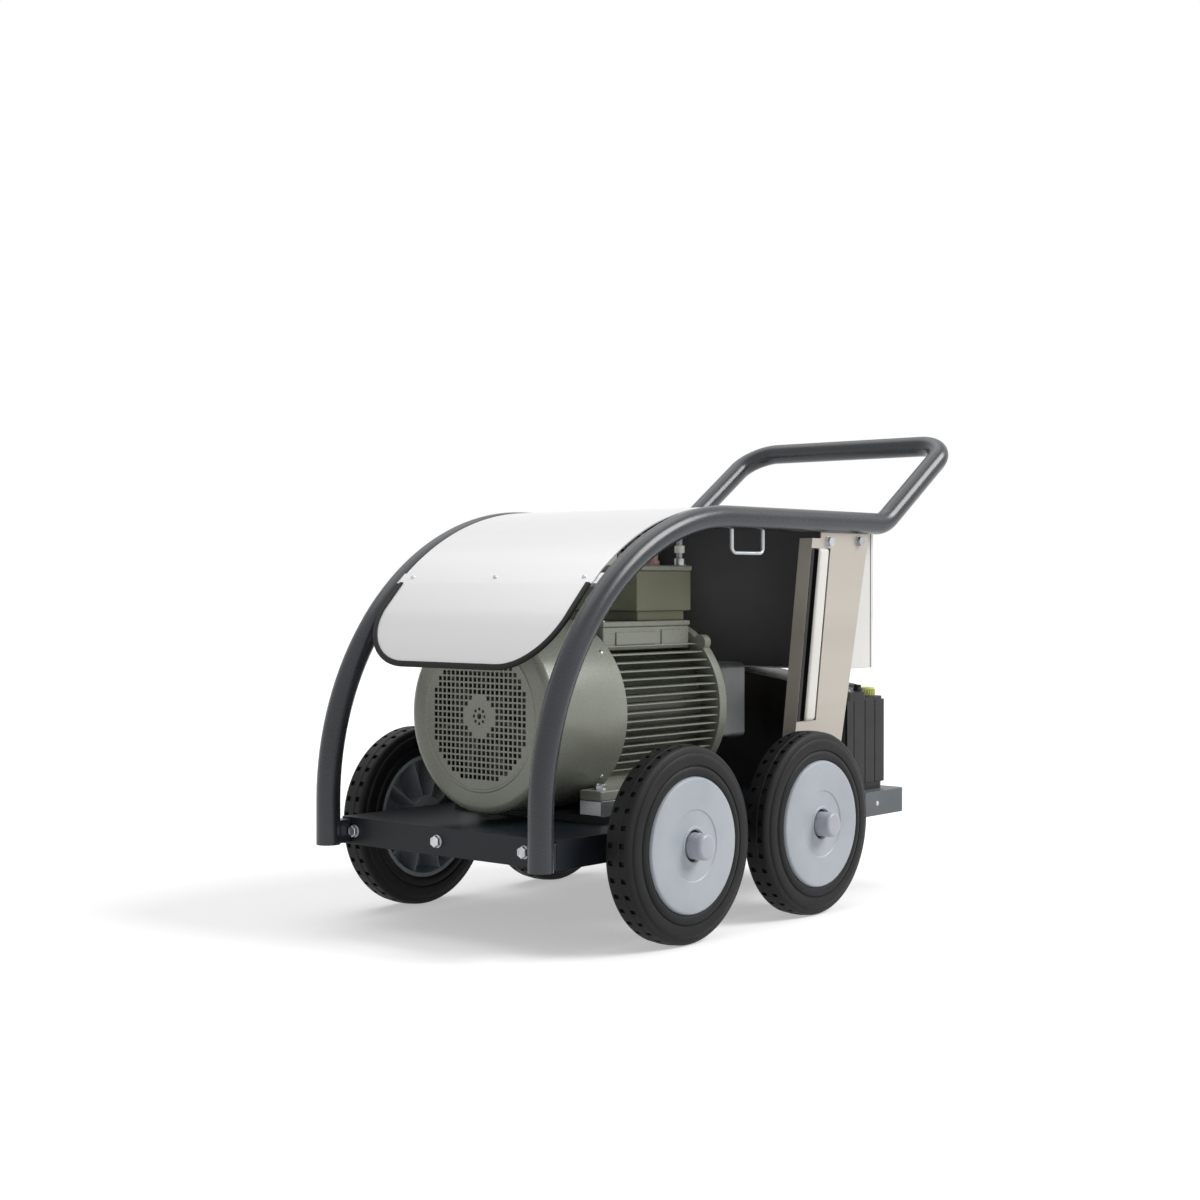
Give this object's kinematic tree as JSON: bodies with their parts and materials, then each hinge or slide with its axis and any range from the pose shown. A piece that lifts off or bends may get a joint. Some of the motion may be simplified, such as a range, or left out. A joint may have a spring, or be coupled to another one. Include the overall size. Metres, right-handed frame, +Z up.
{
  "type": "pressure washer",
  "caption": "Mobile electric high-pressure washer: motor, pump, tank and cabinet on a deck with solid wheels, bent tube frame, push handle and rolled hood.",
  "frame": {"origin": "on the ground under the middle of the machine's length and width", "axes": "+X from the fan end towards the push handle, +Z up, +Y to the left seen from behind"},
  "size_m": [1.1775, 0.672, 0.8196],
  "materials": {
    "frame_paint": "satin powder coat",
    "deck_paint": "satin powder coat",
    "rear_tray_steel": "satin",
    "hood_steel": "fine brushed",
    "trim_rubber": "matte",
    "motor_paint": "semi-gloss enamel",
    "laminations": "raw",
    "machined_steel": "machined",
    "zinc_steel": "zinc plated",
    "black_steel": "satin",
    "pump_alloy": "cast",
    "brass": "machined",
    "ceramic": "polished ceramic",
    "hose_rubber": "smooth",
    "black_plastic": "moulded",
    "tank_plastic": "rotomoulded",
    "cap_plastic": "moulded",
    "cabinet_paint": "powder coat",
    "stainless": "brushed",
    "duct_plastic": "extruded",
    "tyre_rubber": "moulded",
    "disc_plastic": "moulded",
    "red_plastic": "moulded",
    "green_plastic": "moulded"
  },
  "bodies": {
    "chassis": {"chassis_tray": "deck_paint", "rear_tray": "rear_tray_steel", "frame_tube_left": "frame_paint", "frame_tube_right": "frame_paint", "handle_tube": "frame_paint", "hex_bolts": "zinc_steel", "motor_rails": "black_steel", "motor_spacers": "pump_alloy", "stator_housing": "motor_paint", "stator_core": "laminations", "fan_cowl": "motor_paint", "fan_shield": "motor_paint", "drive_shield": "motor_paint", "motor_bearings": "machined_steel", "terminal_box": "motor_paint", "box_lids": "motor_paint", "junction_box": "motor_paint", "conduit": "zinc_steel", "small_screws": "zinc_steel", "bell_housing": "pump_alloy", "pump_crankcase": "pump_alloy", "pump_plungers": "ceramic", "pump_head": "brass", "unloader_valve": "brass", "suction_hose": "hose_rubber", "pressure_pipe": "zinc_steel", "outlet_coupler": "brass", "water_inlet": "brass", "water_tank": "tank_plastic", "cabinet_body": "cabinet_paint", "door_gasket": "trim_rubber", "door_hinges": "zinc_steel", "control_gear": "cabinet_paint", "uprights": "stainless", "cable_ducts": "duct_plastic", "hose_hook": "zinc_steel", "hood_panel": "hood_steel", "hood_trim": "trim_rubber", "hood_crossbar": "zinc_steel", "axles": "machined_steel"},
    "rotor": {"motor_shaft": "machined_steel", "rotor_core": "laminations", "cooling_fan": "black_plastic", "shaft_coupling": "pump_alloy", "crankshaft": "machined_steel"},
    "door": {"cabinet_door": "cabinet_paint"},
    "switch_knob": {"main_switch": "red_plastic"},
    "start_cap": {"start_button": "green_plastic"},
    "stop_cap": {"stop_button": "red_plastic"},
    "lock": {"door_latch": "zinc_steel"},
    "filler_cap": {"tank_cap": "cap_plastic"},
    "regulator": {"regulator_knob": "black_plastic"},
    "front_right_wheel": {"tyre_front_right": "tyre_rubber", "wheel_disc_front_right": "disc_plastic"},
    "front_left_wheel": {"tyre_front_left": "tyre_rubber", "wheel_disc_front_left": "disc_plastic"},
    "rear_right_wheel": {"tyre_rear_right": "tyre_rubber", "wheel_disc_rear_right": "disc_plastic"},
    "rear_left_wheel": {"tyre_rear_left": "tyre_rubber", "wheel_disc_rear_left": "disc_plastic"}
  },
  "joints": [
    {"name": "front_right_wheel_spin", "type": "hinge", "parent": "chassis", "child": "front_right_wheel", "pos_m": [-0.32225, -0.282, 0.15], "axis": [0, 1, 0], "continuous": true},
    {"name": "front_left_wheel_spin", "type": "hinge", "parent": "chassis", "child": "front_left_wheel", "pos_m": [-0.32225, 0.282, 0.15], "axis": [0, 1, 0], "continuous": true},
    {"name": "rear_right_wheel_spin", "type": "hinge", "parent": "chassis", "child": "rear_right_wheel", "pos_m": [0.01675, -0.282, 0.15], "axis": [0, 1, 0], "continuous": true},
    {"name": "rear_left_wheel_spin", "type": "hinge", "parent": "chassis", "child": "rear_left_wheel", "pos_m": [0.01675, 0.282, 0.15], "axis": [0, 1, 0], "continuous": true},
    {"name": "rotor_spin", "type": "hinge", "parent": "chassis", "child": "rotor", "pos_m": [-0.17225, 0, 0.3364], "axis": [1, 0, 0], "continuous": true},
    {"name": "door_hinge", "type": "hinge", "parent": "chassis", "child": "door", "pos_m": [0.34675, 0.2015, 0.52], "axis": [0, 0, 1], "range_deg": [0, 88]},
    {"name": "main_switch_turn", "type": "hinge", "parent": "door", "child": "switch_knob", "pos_m": [0.35025, 0.1, 0.56], "axis": [1, 0, 0], "range_deg": [0, 90]},
    {"name": "start_press", "type": "slide", "parent": "door", "child": "start_cap", "axis": [-1, 0, 0], "range_m": [0, 0.003], "stiffness_N_per_m": 300},
    {"name": "stop_press", "type": "slide", "parent": "door", "child": "stop_cap", "axis": [-1, 0, 0], "range_m": [0, 0.003], "stiffness_N_per_m": 300},
    {"name": "door_latch_turn", "type": "hinge", "parent": "door", "child": "lock", "pos_m": [0.35025, -0.167, 0.52], "axis": [1, 0, 0], "range_deg": [0, 90]},
    {"name": "tank_cap_turn", "type": "hinge", "parent": "chassis", "child": "filler_cap", "pos_m": [0.36275, -0.172, 0.345], "axis": [0, 0, 1], "range_deg": [0, 270]},
    {"name": "pressure_set", "type": "hinge", "parent": "chassis", "child": "regulator", "pos_m": [0.09825, 0.13, 0.43], "axis": [0, 0, 1], "range_deg": [0, 300]}
  ]
}
